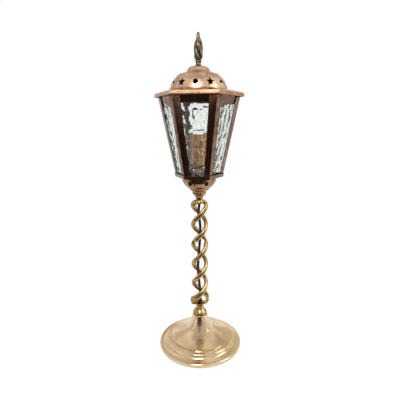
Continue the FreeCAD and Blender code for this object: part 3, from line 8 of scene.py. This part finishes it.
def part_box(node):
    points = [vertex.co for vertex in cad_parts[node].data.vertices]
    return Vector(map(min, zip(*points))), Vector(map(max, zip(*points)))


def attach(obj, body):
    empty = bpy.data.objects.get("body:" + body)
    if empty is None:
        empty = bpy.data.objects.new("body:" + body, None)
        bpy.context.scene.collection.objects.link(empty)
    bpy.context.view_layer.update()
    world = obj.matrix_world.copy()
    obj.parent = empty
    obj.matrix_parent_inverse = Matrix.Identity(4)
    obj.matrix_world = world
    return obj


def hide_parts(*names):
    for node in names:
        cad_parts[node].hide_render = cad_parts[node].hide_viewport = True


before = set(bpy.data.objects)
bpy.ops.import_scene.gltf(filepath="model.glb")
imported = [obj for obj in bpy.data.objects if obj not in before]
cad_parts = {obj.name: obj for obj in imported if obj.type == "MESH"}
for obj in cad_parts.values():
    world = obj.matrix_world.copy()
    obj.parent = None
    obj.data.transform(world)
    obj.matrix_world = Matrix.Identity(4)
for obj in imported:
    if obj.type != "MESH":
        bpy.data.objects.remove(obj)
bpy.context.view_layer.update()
print("frame loaded")

mm = 0.001
scene = bpy.context.scene

# camera: a little above the lantern's middle, looking down at the foot
cameraSizes = {"place": (0.0642, -0.6081, 0.4292), "aside": 6.03, "down": 12.74, "roll": -0.37,
               "sensor": 36.0, "lens": 30.97, "shift": (0.00175, 0.0024), "nearest": 0.01}


def makeCamera():
    sizes = cameraSizes
    eye = bpy.data.cameras.new("lampCamera")
    eye.sensor_width = sizes["sensor"]
    eye.lens = sizes["lens"]
    eye.shift_x, eye.shift_y = sizes["shift"]
    eye.clip_start = sizes["nearest"]
    lampCamera = bpy.data.objects.new("lampCamera", eye)
    lampCamera.matrix_world = (Matrix.Translation(sizes["place"])
                               @ Matrix.Rotation(math.radians(sizes["aside"]), 4, "Z")
                               @ Matrix.Rotation(math.radians(90.0 - sizes["down"]), 4, "X")
                               @ Matrix.Rotation(math.radians(sizes["roll"]), 4, "Z"))
    scene.collection.objects.link(lampCamera)
    scene.camera = lampCamera


makeCamera()
print("camera placed")


# shader helpers
def newMaterial(name):
    material = bpy.data.materials.new(name)
    material.use_nodes = True
    return material, material.node_tree, material.node_tree.nodes["Principled BSDF"]


def addNode(tree, kind, inputs=None, **settings):
    node = tree.nodes.new(kind)
    for key, value in settings.items():
        setattr(node, key, value)
    for key, value in (inputs or {}).items():
        if isinstance(value, bpy.types.NodeSocket):
            tree.links.new(value, node.inputs[key])
        else:
            node.inputs[key].default_value = value
    return node


def shade(colour):
    # a colour as seen on screen, 0 to 255, made linear
    parts = []
    for part in colour:
        part /= 255.0
        parts.append(part / 12.92 if part <= 0.04045 else ((part + 0.055) / 1.055) ** 2.4)
    return (*parts, 1.0)


def blendColours(tree, factor, first, second):
    mix = tree.nodes.new("ShaderNodeMix")
    mix.data_type = "RGBA"
    for socket, value in ((mix.inputs[0], factor), (mix.inputs[6], first), (mix.inputs[7], second)):
        if isinstance(value, bpy.types.NodeSocket):
            tree.links.new(value, socket)
        else:
            socket.default_value = value
    return mix.outputs[2]


def spread(tree, value, low, high, toLow=0.0, toHigh=1.0):
    return addNode(tree, "ShaderNodeMapRange", {0: value, 1: low, 2: high, 3: toLow, 4: toHigh}).outputs[0]


def cloud(tree, place, scale, detail=4.0, roughness=0.55, distortion=0.0):
    return addNode(tree, "ShaderNodeTexNoise", {"Vector": place, "Scale": scale, "Detail": detail,
                                                "Roughness": roughness, "Distortion": distortion}).outputs[0]


def bumpOn(tree, height, strength, depth, under=None):
    inputs = {"Strength": strength, "Distance": depth * mm, "Height": height}
    if under is not None:
        inputs["Normal"] = under
    return addNode(tree, "ShaderNodeBump", inputs).outputs[0]


# marks in the metal: how many to the metre, and how deep in mm; also the range of the painted shade in recesses, and
# the colour of the painted shade inside the dome
markSizes = {"fine": 420.0, "fineDepth": 0.15, "smears": 90.0, "turned": 1600.0, "turnedDepth": 0.1,
             "lumps": 240.0, "lumpDepth": 0.4, "middle": (0.3, 0.7), "occlusionShadeRange": (0.45, 0.95),
             "insideShade": (26, 21, 18)}


def agedMetal(name, bright, worn, dirtAndShade, gloss, patch, cover=(0.42, 0.62), spun=0.0, hammered=0.0, grain=0.05,
              mottle=0.1, recess=4.0, paintedShadeAmount=0.8, hollowFrom=None, brushed=0.0):
    # bright metal, duller patches, painted shade in the recesses, and fine marks in the gloss and the surface
    sizes = markSizes
    material, tree, shader = newMaterial(name)
    place = tree.nodes.new("ShaderNodeTexCoord").outputs["Object"]
    patches = spread(tree, cloud(tree, place, patch, 5.0, 0.62, 0.4), *cover)
    fine = cloud(tree, place, sizes["fine"], 3.0, 0.6)
    colour = blendColours(tree, patches, shade(bright), shade(worn))
    colour = blendColours(tree, spread(tree, fine, *sizes["middle"], 0.0, mottle), colour, shade(dirtAndShade))
    # painted shade: surfaces that ambient occlusion finds enclosed are painted towards the darkest colour
    occlusionShade = addNode(tree, "ShaderNodeAmbientOcclusion", {"Distance": recess * mm}, samples=8).outputs["AO"]
    colour = blendColours(tree, spread(tree, occlusionShade, *sizes["occlusionShadeRange"], paintedShadeAmount, 0.0), colour, shade(dirtAndShade))
    if hollowFrom is not None:
        # painted shade: faces that look back at the axis, the inside, are painted near black
        ray = addNode(tree, "ShaderNodeVectorMath", {0: place, 1: (0.0, 0.0, hollowFrom)},
                      operation="SUBTRACT").outputs[0]
        normal = tree.nodes.new("ShaderNodeNewGeometry").outputs["Normal"]
        facing = addNode(tree, "ShaderNodeVectorMath", {0: ray, 1: normal}, operation="DOT_PRODUCT").outputs["Value"]
        inside = spread(tree, facing, -0.2 * mm, 0.2 * mm, 1.0, 0.0)
        colour = blendColours(tree, inside, colour, shade(sizes["insideShade"]))
    tree.links.new(colour, shader.inputs["Base Color"])
    shader.inputs["Metallic"].default_value = 1.0
    if brushed:
        shader.inputs["Anisotropic"].default_value = brushed
        around = addNode(tree, "ShaderNodeTangent", direction_type="RADIAL", axis="Z")
        tree.links.new(around.outputs[0], shader.inputs["Tangent"])
    smears = cloud(tree, place, sizes["smears"], 4.0, 0.6, 0.8)
    tree.links.new(spread(tree, smears, *sizes["middle"], *gloss), shader.inputs["Roughness"])
    surface = bumpOn(tree, fine, grain, sizes["fineDepth"])
    if spun:
        # turning marks run round the lamp's axis
        flat = addNode(tree, "ShaderNodeVectorMath", {0: place, 1: (1.0, 1.0, 0.0)}, operation="MULTIPLY").outputs[0]
        reach = addNode(tree, "ShaderNodeVectorMath", {0: flat}, operation="LENGTH").outputs["Value"]
        height = addNode(tree, "ShaderNodeSeparateXYZ", {0: place}).outputs[2]
        run = addNode(tree, "ShaderNodeMath", {0: reach, 1: height}, operation="ADD").outputs[0]
        marks = addNode(tree, "ShaderNodeTexNoise", {"W": run, "Scale": sizes["turned"], "Detail": 3.0},
                        noise_dimensions="1D").outputs[0]
        surface = bumpOn(tree, marks, spun, sizes["turnedDepth"], surface)
    if hammered:
        surface = bumpOn(tree, cloud(tree, place, sizes["lumps"], 3.0, 0.6, 1.2), hammered, sizes["lumpDepth"], surface)
    tree.links.new(surface, shader.inputs["Normal"])
    return material


def plainStuff(name, first, second, roughness, scale, bump=0.2, metallic=0.0, sheen=0.0):
    material, tree, shader = newMaterial(name)
    place = tree.nodes.new("ShaderNodeTexCoord").outputs["Object"]
    grain = cloud(tree, place, scale, 4.0, 0.6)
    colour = blendColours(tree, spread(tree, grain, *markSizes["middle"]), shade(first), shade(second))
    tree.links.new(colour, shader.inputs["Base Color"])
    shader.inputs["Metallic"].default_value = metallic
    shader.inputs["Roughness"].default_value = roughness
    shader.inputs["Sheen Weight"].default_value = sheen
    tree.links.new(bumpOn(tree, grain, bump, 0.3), shader.inputs["Normal"])
    return material


# colours as seen on screen, gloss from its brightest to its dullest, patches to the metre, recess in mm: how far the
# painted shade in recesses reaches
metals = {
    "base": {"name": "spunBrass", "bright": (236, 212, 176), "worn": (224, 198, 156), "dirtAndShade": (160, 130, 94),
             "gloss": (0.13, 0.23), "patch": 24.0, "spun": 0.04, "mottle": 0.05, "grain": 0.02, "brushed": 0.35},
    "column": {"name": "castBrass", "bright": (198, 166, 114), "worn": (166, 133, 84), "dirtAndShade": (76, 56, 33),
               "gloss": (0.19, 0.32), "patch": 60.0, "recess": 5.0, "paintedShadeAmount": 0.6, "hammered": 0.03},
    "bowl": {"name": "bowlBrass", "bright": (178, 142, 106), "worn": (130, 94, 66), "dirtAndShade": (54, 38, 26),
             "gloss": (0.14, 0.28), "patch": 70.0, "spun": 0.05},
    "strip": {"name": "copperStrip", "bright": (160, 124, 104), "worn": (104, 78, 62), "dirtAndShade": (42, 33, 27),
              "gloss": (0.13, 0.24), "patch": 90.0, "cover": (0.38, 0.66), "hammered": 0.12, "mottle": 0.2,
              "recess": 2.5, "paintedShadeAmount": 0.75},
    "roof": {"name": "roofCopper", "bright": (200, 158, 122), "worn": (156, 116, 88), "dirtAndShade": (84, 60, 44),
             "gloss": (0.16, 0.28), "patch": 60.0, "cover": (0.42, 0.7), "hammered": 0.08},
    # the dome's inside faces get painted shade, measured from the point at height hollowFrom
    "dome": {"name": "domeBrass", "bright": (222, 186, 158), "worn": (190, 150, 124), "dirtAndShade": (96, 70, 50),
             "gloss": (0.26, 0.35), "patch": 40.0, "spun": 0.03, "grain": 0.02, "mottle": 0.03,
             "hollowFrom": 0.484, "brushed": 0.2},
    "finial": {"name": "finialBrass", "bright": (134, 122, 100), "worn": (84, 74, 60), "dirtAndShade": (30, 26, 21),
               "gloss": (0.28, 0.45), "patch": 150.0, "hammered": 0.3, "mottle": 0.3, "recess": 2.5,
               "paintedShadeAmount": 0.95},
    "holder": {"name": "holderBrass", "bright": (204, 158, 112), "worn": (160, 120, 84), "dirtAndShade": (90, 64, 42),
               "gloss": (0.34, 0.46), "patch": 80.0, "spun": 0.05},
}
stuffs = {
    "iron": {"name": "castIron", "first": (62, 60, 58), "second": (44, 42, 41), "roughness": 0.75,
             "scale": 160.0, "bump": 0.6},
    "steel": {"name": "zincSteel", "first": (176, 178, 180), "second": (146, 148, 150), "roughness": 0.34,
              "scale": 300.0, "bump": 0.15, "metallic": 1.0},
    "baize": {"name": "greenBaize", "first": (34, 66, 46), "second": (24, 50, 34), "roughness": 0.95,
              "scale": 900.0, "bump": 0.8, "sheen": 0.4},
    "rubber": {"name": "blackRubber", "first": (30, 28, 27), "second": (22, 21, 20), "roughness": 0.6,
               "scale": 500.0},
    "insulator": {"name": "holderInsulator", "first": (222, 212, 190), "second": (206, 192, 164),
                  "roughness": 0.3, "scale": 120.0, "bump": 0.1},
    "flex": {"name": "flexSheath", "first": (40, 36, 34), "second": (26, 24, 23), "roughness": 0.42,
             "scale": 700.0, "bump": 0.25},
    "core": {"name": "coreSheath", "first": (118, 78, 44), "second": (98, 62, 34), "roughness": 0.45,
             "scale": 700.0, "bump": 0.15},
}
finishes = {finish: agedMetal(**looks) for finish, looks in metals.items()}
finishes.update({finish: plainStuff(**looks) for finish, looks in stuffs.items()})

# each node keeps its solid and gets its finish
dressed = {
    "base": ["base_shell"],
    "column": ["twist_column"],
    "bowl": ["bowl"],
    "strip": ["floor_pan", "top_band", "glass_clips", "floor_tabs"] + [f"corner_post_{i}" for i in range(1, 7)],
    "roof": ["roof_plate", "roof_tabs"],
    "dome": ["pierced_dome", "chimney_cap"],
    "holder": ["holder_cap", "holder_barrel", "bayonet_sleeve", "contact_plunger_1", "contact_plunger_2",
               "terminal_blocks"],
    "iron": ["base_weight"],
    "steel": ["lower_stud", "lower_washer", "lower_nut", "upper_stud", "floor_washer", "floor_nut",
              "contact_spring_1", "contact_spring_2", "terminal_screws", "finial_rod", "finial_washer", "finial_nut"],
    "baize": ["baize_pad"],
    "rubber": ["outlet_grommet"],
    "insulator": ["holder_insulator"],
    "flex": ["lamp_flex"],
    "core": ["flex_cores"],
    "finial": ["flame_finial"],
}
for finish, names in dressed.items():
    for name in names:
        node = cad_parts[name]
        node.data.materials.clear()
        node.data.materials.append(finishes[finish])
print("nodes dressed")


def makePiece(name, bm, body, material, hides, smooth):
    mesh = bpy.data.meshes.new(name)
    bm.to_mesh(mesh)
    bm.free()
    for face in mesh.polygons:
        face.use_smooth = True
    mesh.set_sharp_from_angle(angle=math.radians(smooth))
    mesh.materials.append(material)
    piece = bpy.data.objects.new(name, mesh)
    scene.collection.objects.link(piece)
    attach(piece, body)
    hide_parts(hides)


# folded strip, with its edges softened as a file leaves them: edges in mm, angles in degrees
stripSizes = {"postEdge": 0.28, "panEdge": 0.22, "bandEdge": 0.2, "flat": 1.0, "sharp": 28.0, "smooth": 40.0}


def soften(node, edge):
    sizes = stripSizes
    bm = bmesh.new()
    bm.from_mesh(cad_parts[node].data)
    bmesh.ops.remove_doubles(bm, verts=bm.verts, dist=0.001 * mm)
    bmesh.ops.dissolve_limit(bm, angle_limit=math.radians(sizes["flat"]), verts=bm.verts, edges=bm.edges)
    sharp = [line for line in bm.edges
             if len(line.link_faces) == 2 and line.calc_face_angle(0.0) > math.radians(sizes["sharp"])]
    bmesh.ops.bevel(bm, geom=sharp, offset=edge * mm, offset_type="OFFSET", segments=2, profile=0.5,
                    affect="EDGES", material=-1, clamp_overlap=True)
    makePiece(f"soft_{node}", bm, "lamp", finishes["strip"], node, sizes["smooth"])


for i in range(1, 7):
    soften(f"corner_post_{i}", stripSizes["postEdge"])
soften("floor_pan", stripSizes["panEdge"])
soften("top_band", stripSizes["bandEdge"])
print("strip softened")


# flame finial: a turned foot in mm (radius, height, bow of the run that follows), and four leaves twisted together
finialSizes = {"foot": [(2.56, 0.0), (5.5, 0.0), (5.8, 0.7, 0.15), (5.2, 1.7, -0.1), (4.2, 4.8, -0.05), (4.3, 6.3),
                        (5.2, 7.1, 0.2), (5.3, 8.2, 0.1), (4.7, 9.3), (3.7, 10.2), (0.0, 10.6)],
               "bowStep": 10.0, "footSteps": 96, "flameFoot": 9.9, "twist": -165.0, "rings": 60, "around": 80,
               # girth: the share of the flame's height, and the radius in mm
               "girth": [(0.0, 4.2), (0.03, 5.7), (0.09, 7.2), (0.18, 7.8), (0.29, 7.95), (0.48, 7.5), (0.62, 6.6),
                         (0.7, 5.2), (0.77, 4.0), (0.83, 3.4), (0.93, 2.7), (0.98, 1.9), (1.0, 0.7)],
               # groove: its depth as a share of the girth, how it fades upwards, and how soon it begins
               "groove": 0.34, "fade": 0.35, "begin": 9.0, "first": 0.1, "leafRound": 0.55,
               "veinWide": 0.2, "veinDeep": 0.14, "smooth": 60.0}


def alongProfile(profile):
    points = []
    for first, second in zip(profile, profile[1:]):
        a, b = Vector(first[:2]), Vector(second[:2])
        points.append(a)
        bow = first[2] if len(first) > 2 else 0.0
        if bow:
            chord = b - a
            side = Vector((chord.y, -chord.x)) * math.copysign(1.0, bow)
            bow = abs(bow)
            reach = (0.25 + bow * bow) / (2.0 * bow)
            half = 2.0 * math.atan(2.0 * bow)
            count = max(2, math.ceil(2.0 * half / math.radians(finialSizes["bowStep"])))
            for k in range(1, count):
                turn = -half + 2.0 * half * k / count
                points.append(a + chord * (0.5 + reach * math.sin(turn))
                              + side * (reach * math.cos(turn) - reach + bow))
    points.append(Vector(profile[-1][:2]))
    return points


def turnProfile(bm, profile, lift):
    verts = [bm.verts.new((point.x * mm, 0.0, point.y * mm + lift)) for point in alongProfile(profile)]
    edges = [bm.edges.new(pair) for pair in zip(verts, verts[1:])]
    bmesh.ops.spin(bm, geom=verts + edges, cent=(0.0, 0.0, 0.0), axis=(0.0, 0.0, 1.0), angle=2.0 * math.pi,
                   steps=finialSizes["footSteps"], use_merge=True)


def girthAt(share):
    girth = finialSizes["girth"]
    for (a, low), (b, high) in zip(girth, girth[1:]):
        if share <= b:
            return low + (high - low) * (share - a) / (b - a)
    return girth[-1][1]


def makeFinial():
    sizes = finialSizes
    low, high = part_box("flame_finial")
    bm = bmesh.new()
    turnProfile(bm, sizes["foot"], low.z)
    start = low.z + sizes["flameFoot"] * mm
    ringVerts = bmesh.ops.create_circle(bm, cap_ends=False, segments=sizes["around"], radius=girthAt(0.0) * mm)["verts"]
    ringEdges = list({line for vert in ringVerts for line in vert.link_edges})
    bmesh.ops.translate(bm, vec=(0.0, 0.0, start), verts=ringVerts)
    bmesh.ops.edgeloop_fill(bm, edges=ringEdges)
    lastTwist = 0.0
    for k in range(sizes["rings"] + 1):
        share = k / sizes["rings"]
        if k:
            grown = bmesh.ops.extrude_edge_only(bm, edges=ringEdges)["geom"]
            ringVerts = [item for item in grown if isinstance(item, bmesh.types.BMVert)]
            ringEdges = [item for item in grown if isinstance(item, bmesh.types.BMEdge)
                         and all(vert in ringVerts for vert in item.verts)]
        twist = math.radians(sizes["twist"]) * share
        depth = sizes["groove"] * (1.0 - sizes["fade"] * share) * min(1.0, share * sizes["begin"] + sizes["first"])
        for vert in ringVerts:
            angle = math.atan2(vert.co.y, vert.co.x) - lastTwist
            leaf = abs(math.cos(2.0 * angle)) ** sizes["leafRound"]
            vein = math.exp(-((math.sin(2.0 * angle)) / sizes["veinWide"]) ** 2) * sizes["veinDeep"]
            reach = girthAt(share) * (1.0 - depth + depth * leaf - vein * depth) * mm
            vert.co = Vector((reach * math.cos(angle + twist), reach * math.sin(angle + twist),
                              start + (high.z - start) * share))
        lastTwist = twist
    bmesh.ops.edgeloop_fill(bm, edges=ringEdges)
    bmesh.ops.remove_doubles(bm, verts=bm.verts, dist=0.001 * mm)
    bmesh.ops.recalc_face_normals(bm, faces=bm.faces)
    makePiece("twisted_flame", bm, "roof", finishes["finial"], "flame_finial", sizes["smooth"])


makeFinial()
print("finial made")


# hammered glass: a leaning pane in mm, smooth outside, with tilted hollows on the inside
paneSizes = {"panLevel": 336.0, "apothem": 36.286, "lean": 10.29, "outside": 2.3, "thick": 3.0, "play": 0.6,
             "foot": 0.92, "top": 136.63, "across": 78, "up": 168, "smooth": 50.0,
             # hollows: their spacing, how far they are shaken from a regular grid, their depth, size and tilt, and how
             # wide the painted shade along their ridges is
             "side": 40.0, "cell": 11.0, "row": 0.866, "shake": 0.24, "depth": 0.62, "round": 0.58, "tilt": 0.17,
             "near": 14.0, "ridge": 22.0, "proud": -0.2, "deepest": 1.5, "ridgeShade": 0.22, "seed": 40}


def hammeredGlassMaterial():
    material, tree, shader = newMaterial("hammeredGlass")
    place = tree.nodes.new("ShaderNodeTexCoord").outputs["Object"]
    tint = cloud(tree, place, 30.0, 2.0)
    clear = blendColours(tree, tint, (0.93, 0.96, 0.94, 1.0), (0.97, 0.985, 0.975, 1.0))
    # painted shade: the ridges between the hollows are painted darker, in place of the dark lines that refraction gives
    # there
    ridge = addNode(tree, "ShaderNodeAttribute", attribute_name="ridge").outputs["Fac"]
    ridgeShade = blendColours(tree, spread(tree, ridge, 0.15, 0.9, 0.0, 0.8), clear, (0.3, 0.3, 0.28, 1.0))
    tree.links.new(ridgeShade, shader.inputs["Base Color"])
    shader.inputs["Transmission Weight"].default_value = 1.0
    shader.inputs["Roughness"].default_value = 0.015
    shader.inputs["IOR"].default_value = 1.5
    tree.links.new(bumpOn(tree, cloud(tree, place, 260.0, 2.0), 0.06, 0.2), shader.inputs["Normal"])
    return material


def hollowCentres(seed):
    # place and tilt of each hammer mark, on a shaken hexagonal grid
    sizes = paneSizes
    shake = random.Random(seed)
    cell = sizes["cell"]
    centres = []
    row = 0
    height = -cell
    while height < sizes["top"] + cell:
        x = -sizes["side"] + (cell / 2.0 if row % 2 else 0.0)
        while x < sizes["side"]:
            centres.append((x + shake.uniform(-sizes["shake"], sizes["shake"]) * cell,
                            height + shake.uniform(-sizes["shake"], sizes["shake"]) * cell,
                            shake.uniform(-1.0, 1.0) * sizes["tilt"], shake.uniform(-1.0, 1.0) * sizes["tilt"]))
            x += cell
        row += 1
        height += cell * sizes["row"]
    return centres


def makePane(index, material):
    sizes = paneSizes
    lean = math.radians(sizes["lean"])
    bm = bmesh.new()
    bmesh.ops.create_grid(bm, x_segments=sizes["across"], y_segments=sizes["up"], size=1.0)
    ridgeLayer = bm.verts.layers.float.new("ridge")
    centres = hollowCentres(sizes["seed"] + index)
    radius = sizes["cell"] * sizes["round"]
    inside = sizes["outside"] + sizes["thick"]
    for vert in bm.verts:
        along = sizes["foot"] + (sizes["top"] - sizes["foot"]) * (vert.co.y + 1.0) / 2.0
        reach = sizes["apothem"] + along * math.sin(lean) - inside * math.cos(lean)
        half = reach * math.tan(math.radians(30.0)) - sizes["play"]
        vert.co = Vector((vert.co.x * half, inside, along))
    grown = bmesh.ops.extrude_face_region(bm, geom=bm.faces[:])["geom"]
    outer = {item for item in grown if isinstance(item, bmesh.types.BMVert)}
    for vert in outer:
        vert.co.y = sizes["outside"]
    for vert in bm.verts:
        if vert in outer:
            continue
        # every hollow has its own tilt, and neighbours meet in a ridge
        near = []
        for x, h, leanX, leanZ in centres:
            aside, above = vert.co.x - x, vert.co.z - h
            if abs(aside) < sizes["near"] and abs(above) < sizes["near"]:
                hollow = sizes["depth"] * (1.0 - (aside * aside + above * above) / (radius * radius))
                near.append(hollow + leanX * aside + leanZ * above)
        near.sort(reverse=True)
        top = near[0]
        # painted shade: the ridge layer holds how near each point is to a ridge, where the glass is painted darker
        vert[ridgeLayer] = max(0.0, 1.0 - (top - near[1]) / sizes["ridgeShade"])
        level = top + math.log(sum(math.exp(sizes["ridge"] * (item - top)) for item in near)) / sizes["ridge"]
        vert.co.y -= min(max(level, sizes["proud"]), sizes["deepest"])
    bmesh.ops.scale(bm, vec=(mm, mm, mm), verts=bm.verts)
    leaned = (Matrix.Rotation(math.radians(60.0 * index), 4, "Z")
              @ Matrix.Translation((0.0, -sizes["apothem"] * mm, sizes["panLevel"] * mm))
              @ Matrix.Rotation(lean, 4, "X"))
    bmesh.ops.transform(bm, matrix=leaned, verts=bm.verts)
    bmesh.ops.recalc_face_normals(bm, faces=bm.faces)
    makePiece(f"hammered_pane_{index + 1}", bm, "lamp", material, f"glass_pane_{index + 1}",
              sizes["smooth"])


hammeredGlass = hammeredGlassMaterial()
for index in range(6):
    makePane(index, hammeredGlass)
print("panes hammered")


# stage and light: sizes in metres, power in watts
stageSizes = {"floorHalf": 6.0, "floorShade": 0.86, "glowShare": 0.86, "glow": 1.06, "worldLight": 0.8,
              "roomPatches": 2.2, "roomPale": (1.0, 0.98, 0.95, 1.0), "roomDark": (0.5, 0.45, 0.4, 1.0)}
cards = {
    "frontCard": {"centre": (0.0, -1.7, 0.002), "size": (2.4, 3.0), "tip": 0.0, "radiance": (0.05, 0.042, 0.035)},
    "wideCard": {"centre": (0.0, -2.2, 0.3), "size": (2.4, 0.6), "tip": 90.0, "radiance": (0.05, 0.042, 0.035)},
    "middleCard": {"centre": (0.0, -2.2, 0.85), "size": (2.4, 0.5), "tip": 90.0, "radiance": (0.5, 0.46, 0.42)},
    "tallCard": {"centre": (-0.02, -2.15, 0.7), "size": (0.3, 1.1), "tip": 90.0, "radiance": (0.07, 0.06, 0.05)},
}
softboxes = {
    "keySoftbox": {"place": (-0.06, -1.25, 1.45), "aim": (0.0, 0.0, 0.3), "size": (0.5, 0.7), "power": 12.0},
    "sideSoftbox": {"place": (1.3, -0.3, 0.9), "aim": (0.0, 0.0, 0.3), "size": (0.4, 1.0), "power": 6.0},
}


def seenPlainly(tree, path):
    # 1 where the camera sees the thing itself, or sees it through glass
    return addNode(tree, "ShaderNodeMath", {0: path.outputs["Is Camera Ray"], 1: path.outputs["Is Transmission Ray"]},
                   operation="MAXIMUM").outputs[0]


def floorMaterial():
    sizes = stageSizes
    material, tree, shader = newMaterial("whiteFloor")
    shader.inputs["Base Color"].default_value = (sizes["floorShade"],) * 3 + (1.0,)
    shader.inputs["Roughness"].default_value = 1.0
    shader.inputs["Specular IOR Level"].default_value = 0.0
    glow = addNode(tree, "ShaderNodeEmission", {"Color": (1.0, 1.0, 1.0, 1.0), "Strength": sizes["glow"]})
    seen = seenPlainly(tree, tree.nodes.new("ShaderNodeLightPath"))
    share = addNode(tree, "ShaderNodeMath", {0: seen, 1: sizes["glowShare"]}, operation="MULTIPLY").outputs[0]
    mix = addNode(tree, "ShaderNodeMixShader", {0: share, 1: shader.outputs[0], 2: glow.outputs[0]})
    tree.links.new(mix.outputs[0], tree.nodes["Material Output"].inputs["Surface"])
    return material


def makeStagePiece(name, bm, material):
    mesh = bpy.data.meshes.new(name)
    bm.to_mesh(mesh)
    bm.free()
    mesh.materials.append(material)
    stagePiece = bpy.data.objects.new(name, mesh)
    scene.collection.objects.link(stagePiece)
    return stagePiece


def makeFloor():
    bm = bmesh.new()
    bmesh.ops.create_grid(bm, x_segments=2, y_segments=2, size=stageSizes["floorHalf"])
    makeStagePiece("floor", bm, floorMaterial())


def makeCard(name, centre, size, tip, radiance):
    # a card that only metal and glass see, as studio cards are out of the picture
    bm = bmesh.new()
    bmesh.ops.create_grid(bm, x_segments=1, y_segments=1, size=0.5)
    bmesh.ops.scale(bm, vec=(size[0], size[1], 1.0), verts=bm.verts)
    stood = Matrix.Translation(centre) @ Matrix.Rotation(math.radians(tip), 4, "X")
    bmesh.ops.transform(bm, matrix=stood, verts=bm.verts)
    material, tree, shader = newMaterial(name)
    light = addNode(tree, "ShaderNodeEmission", {"Color": (*radiance, 1.0), "Strength": 1.0})
    tree.links.new(light.outputs[0], tree.nodes["Material Output"].inputs["Surface"])
    card = makeStagePiece(name, bm, material)
    card.visible_camera = False
    card.visible_diffuse = False
    card.visible_shadow = False
    card.visible_transmission = False


def makeWorld():
    sizes = stageSizes
    world = bpy.data.worlds.new("whiteRoom")
    world.use_nodes = True
    scene.world = world
    tree = world.node_tree
    tree.nodes.clear()
    path = tree.nodes.new("ShaderNodeLightPath")
    seen = seenPlainly(tree, path)
    # metal sees a pale room with darker patches, as a real one has
    place = tree.nodes.new("ShaderNodeTexCoord").outputs["Generated"]
    patches = spread(tree, cloud(tree, place, sizes["roomPatches"], 2.0, 0.5), 0.42, 0.62)
    room = blendColours(tree, patches, sizes["roomPale"], sizes["roomDark"])
    plain = blendColours(tree, path.outputs["Is Glossy Ray"], (sizes["worldLight"],) * 3 + (1.0,), room)
    colour = blendColours(tree, seen, plain, (1.0, 1.0, 1.0, 1.0))
    back = addNode(tree, "ShaderNodeBackground", {"Color": colour, "Strength": 1.0})
    out = tree.nodes.new("ShaderNodeOutputWorld")
    tree.links.new(back.outputs[0], out.inputs["Surface"])


def makeSoftbox(name, place, aim, size, power):
    lamp = bpy.data.lights.new(name, "AREA")
    lamp.shape = "RECTANGLE"
    lamp.size, lamp.size_y = size
    lamp.energy = power
    softbox = bpy.data.objects.new(name, lamp)
    aimed = (Vector(aim) - Vector(place)).to_track_quat("-Z", "Y").to_matrix().to_4x4()
    softbox.matrix_world = Matrix.Translation(place) @ aimed
    scene.collection.objects.link(softbox)
    softbox.visible_camera = False


makeFloor()
for name, looks in cards.items():
    makeCard(name, **looks)
makeWorld()
for name, looks in softboxes.items():
    makeSoftbox(name, **looks)
scene.view_settings.view_transform = "Standard"
print("stage and light ready")
